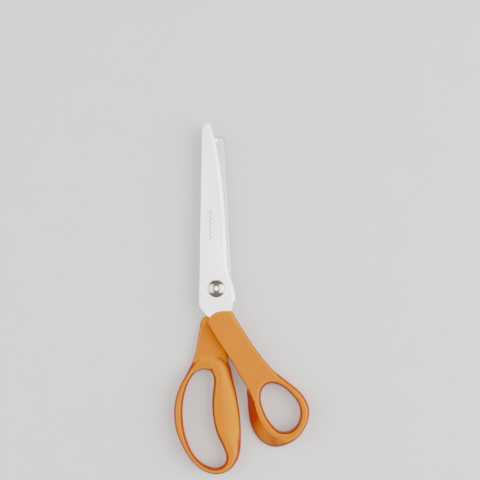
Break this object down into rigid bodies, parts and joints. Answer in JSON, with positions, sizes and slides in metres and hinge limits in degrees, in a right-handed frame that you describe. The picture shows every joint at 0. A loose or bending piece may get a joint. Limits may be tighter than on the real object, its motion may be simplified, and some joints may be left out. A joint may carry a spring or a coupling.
{
  "type": "pinking shears",
  "caption": "Right-handed pinking shears: two serrated steel blades on a domed pivot, with moulded finger and thumb loops.",
  "frame": {"origin": "on the pivot axis, at the flat end of the pivot bolt, in the plane that the shears rest on", "axes": "+Z along the pivot axis towards the domed head, +Y towards the blade tips, +X towards the thumb loop"},
  "size_m": [0.0891, 0.2301, 0.015],
  "materials": {
    "blade_steel": "fine lengthwise brushing with bright ground edge",
    "pivot_steel": "polished",
    "orange_plastic": "satin moulded",
    "nylon": "natural"
  },
  "bodies": {
    "rear": {"rear_blade": "blade_steel", "finger_handle": "orange_plastic", "friction_washer": "nylon"},
    "front": {"front_blade": "blade_steel", "thumb_handle": "orange_plastic", "pivot_bolt": "pivot_steel", "back_washer": "pivot_steel", "spring_washer": "pivot_steel", "adjusting_nut": "pivot_steel"}
  },
  "joints": [
    {"name": "pivot_hinge", "type": "hinge", "parent": "rear", "child": "front", "pos_m": [0, 0, 0], "axis": [0, 0, 1], "range_deg": [-3, 40]}
  ]
}
